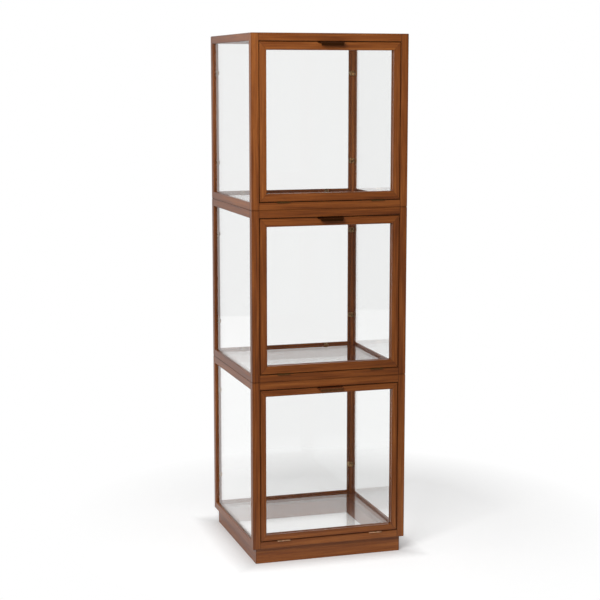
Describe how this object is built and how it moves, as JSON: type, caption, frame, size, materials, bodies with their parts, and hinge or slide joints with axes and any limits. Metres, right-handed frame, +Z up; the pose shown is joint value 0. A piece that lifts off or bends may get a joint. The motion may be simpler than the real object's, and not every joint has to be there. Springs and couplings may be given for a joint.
{
  "type": "glass display cabinet",
  "caption": "Tall square display cabinet of stacked wood-framed glass tiers on a recessed plinth, with a drop-down glass door, hinged at its foot, on the front of each tier.",
  "frame": {"origin": "on the floor, under the middle of the whole outline, door pulls included", "axes": "+X to the right seen from the front, +Y to the back, +Z up; the doors face -Y"},
  "size_m": [0.42, 0.435, 1.373],
  "materials": {
    "stained_wood": "stained brown, satin lacquer",
    "clear_glass": "clear, polished",
    "brass": "satin",
    "dark_bronze": "dark brown bronze, satin",
    "steel": "plain",
    "bare_wood": "bare"
  },
  "bodies": {
    "cabinet": {"lower_posts": "stained_wood", "lower_cross_rails": "stained_wood", "lower_side_rails": "stained_wood", "lower_left_pane": "clear_glass", "lower_right_pane": "clear_glass", "lower_back_pane": "clear_glass", "lower_floor_pane": "clear_glass", "lower_roof_pane": "clear_glass", "middle_posts": "stained_wood", "middle_cross_rails": "stained_wood", "middle_side_rails": "stained_wood", "middle_left_pane": "clear_glass", "middle_right_pane": "clear_glass", "middle_back_pane": "clear_glass", "middle_floor_pane": "clear_glass", "middle_roof_pane": "clear_glass", "upper_posts": "stained_wood", "upper_cross_rails": "stained_wood", "upper_side_rails": "stained_wood", "upper_left_pane": "clear_glass", "upper_right_pane": "clear_glass", "upper_back_pane": "clear_glass", "upper_floor_pane": "clear_glass", "upper_roof_pane": "clear_glass", "frame_hinge_leaves": "brass", "hinge_pins": "brass", "glass_clips": "brass", "clip_screws": "brass", "door_stops": "stained_wood", "door_stop_strips": "stained_wood", "catch_magnets": "steel", "stacking_tenons": "bare_wood", "plinth_left": "stained_wood", "plinth_right": "stained_wood", "plinth_front": "stained_wood", "plinth_rear": "stained_wood", "plinth_screws": "steel"},
    "lower_door": {"lower_door_stiles": "stained_wood", "lower_door_rails": "stained_wood", "lower_door_pane": "clear_glass", "lower_door_beads": "stained_wood", "lower_door_pull": "dark_bronze", "lower_door_hinge_leaves": "brass", "lower_door_strike": "steel"},
    "middle_door": {"middle_door_stiles": "stained_wood", "middle_door_rails": "stained_wood", "middle_door_pane": "clear_glass", "middle_door_beads": "stained_wood", "middle_door_pull": "dark_bronze", "middle_door_hinge_leaves": "brass", "middle_door_strike": "steel"},
    "upper_door": {"upper_door_stiles": "stained_wood", "upper_door_rails": "stained_wood", "upper_door_pane": "clear_glass", "upper_door_beads": "stained_wood", "upper_door_pull": "dark_bronze", "upper_door_hinge_leaves": "brass", "upper_door_strike": "steel"}
  },
  "joints": [
    {"name": "lower_door_hinge", "type": "hinge", "parent": "cabinet", "child": "lower_door", "pos_m": [0, -0.2048, 0.061], "axis": [1, 0, 0], "range_deg": [0, 90]},
    {"name": "middle_door_hinge", "type": "hinge", "parent": "cabinet", "child": "middle_door", "pos_m": [0, -0.2048, 0.505], "axis": [1, 0, 0], "range_deg": [0, 90]},
    {"name": "upper_door_hinge", "type": "hinge", "parent": "cabinet", "child": "upper_door", "pos_m": [0, -0.2048, 0.949], "axis": [1, 0, 0], "range_deg": [0, 90]}
  ]
}
